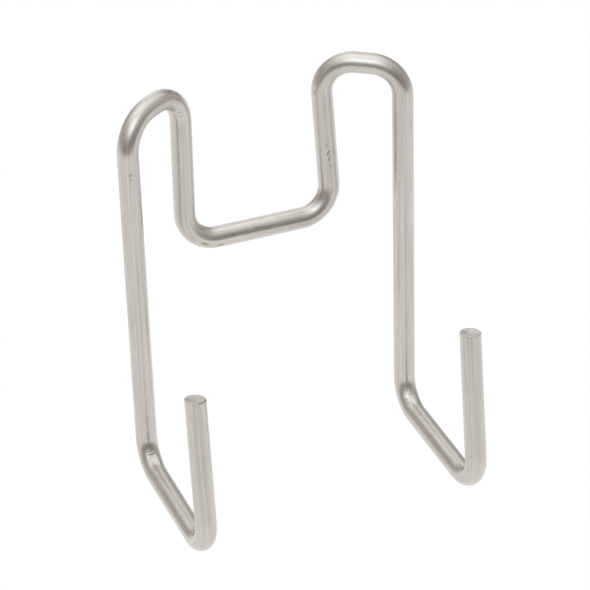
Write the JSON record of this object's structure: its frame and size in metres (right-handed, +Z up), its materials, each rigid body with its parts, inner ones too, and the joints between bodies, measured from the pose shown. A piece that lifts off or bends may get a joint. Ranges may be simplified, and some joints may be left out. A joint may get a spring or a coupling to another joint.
{
  "type": "frame grip",
  "caption": "Hanger bent from round stainless rod: saddles hook over a thin rim, a bar clips behind it, and upturned cradle arms hold a hive frame.",
  "frame": {"origin": "the rim seat: midway between the two saddles, on their undersides, where the top edge of the wall that the part hangs on sits", "axes": "+X to the right, +Y to the back, where the short legs and the bar are, +Z up; the long legs are in a plane square to Y, and the cradles reach out along -Y"},
  "size_m": [0.088, 0.0644, 0.1169],
  "materials": {
    "satin_stainless": "bare drawn stainless rod, satin, with fine draw lines along its length"
  },
  "bodies": {
    "root": {"bent_rod": "satin_stainless"}
  },
  "joints": []
}
